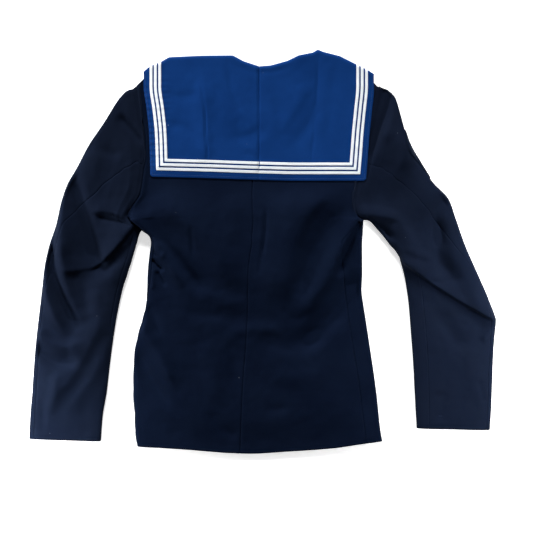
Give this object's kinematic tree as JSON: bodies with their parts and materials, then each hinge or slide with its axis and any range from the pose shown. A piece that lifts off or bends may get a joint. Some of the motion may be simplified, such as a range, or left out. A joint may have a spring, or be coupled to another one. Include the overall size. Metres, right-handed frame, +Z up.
{
  "type": "sailor jumper",
  "caption": "Long-sleeved navy wool sailor jumper laid flat back upwards, with a square blue collar edged by white tapes.",
  "frame": {"origin": "on the surface it lies on, under the middle of its bounding box", "axes": "+X across the garment towards the wearer's right sleeve as seen from the back, +Y from hem to collar, +Z up, out of the back"},
  "size_m": [0.7921, 0.6834, 0.0215],
  "materials": {
    "wool": "very dark navy wool twill, matt with a faint nap",
    "collar_cloth": "blue cotton drill, matt",
    "tape": "white woven cotton tape, matt"
  },
  "bodies": {
    "root": {"back_left": "wool", "back_right": "wool", "front": "wool", "top_sleeve_left": "wool", "under_sleeve_left": "wool", "top_sleeve_right": "wool", "under_sleeve_right": "wool", "collar": "collar_cloth", "tape_outer": "tape", "tape_middle": "tape", "tape_inner": "tape", "badge_patch": "wool"}
  },
  "joints": []
}
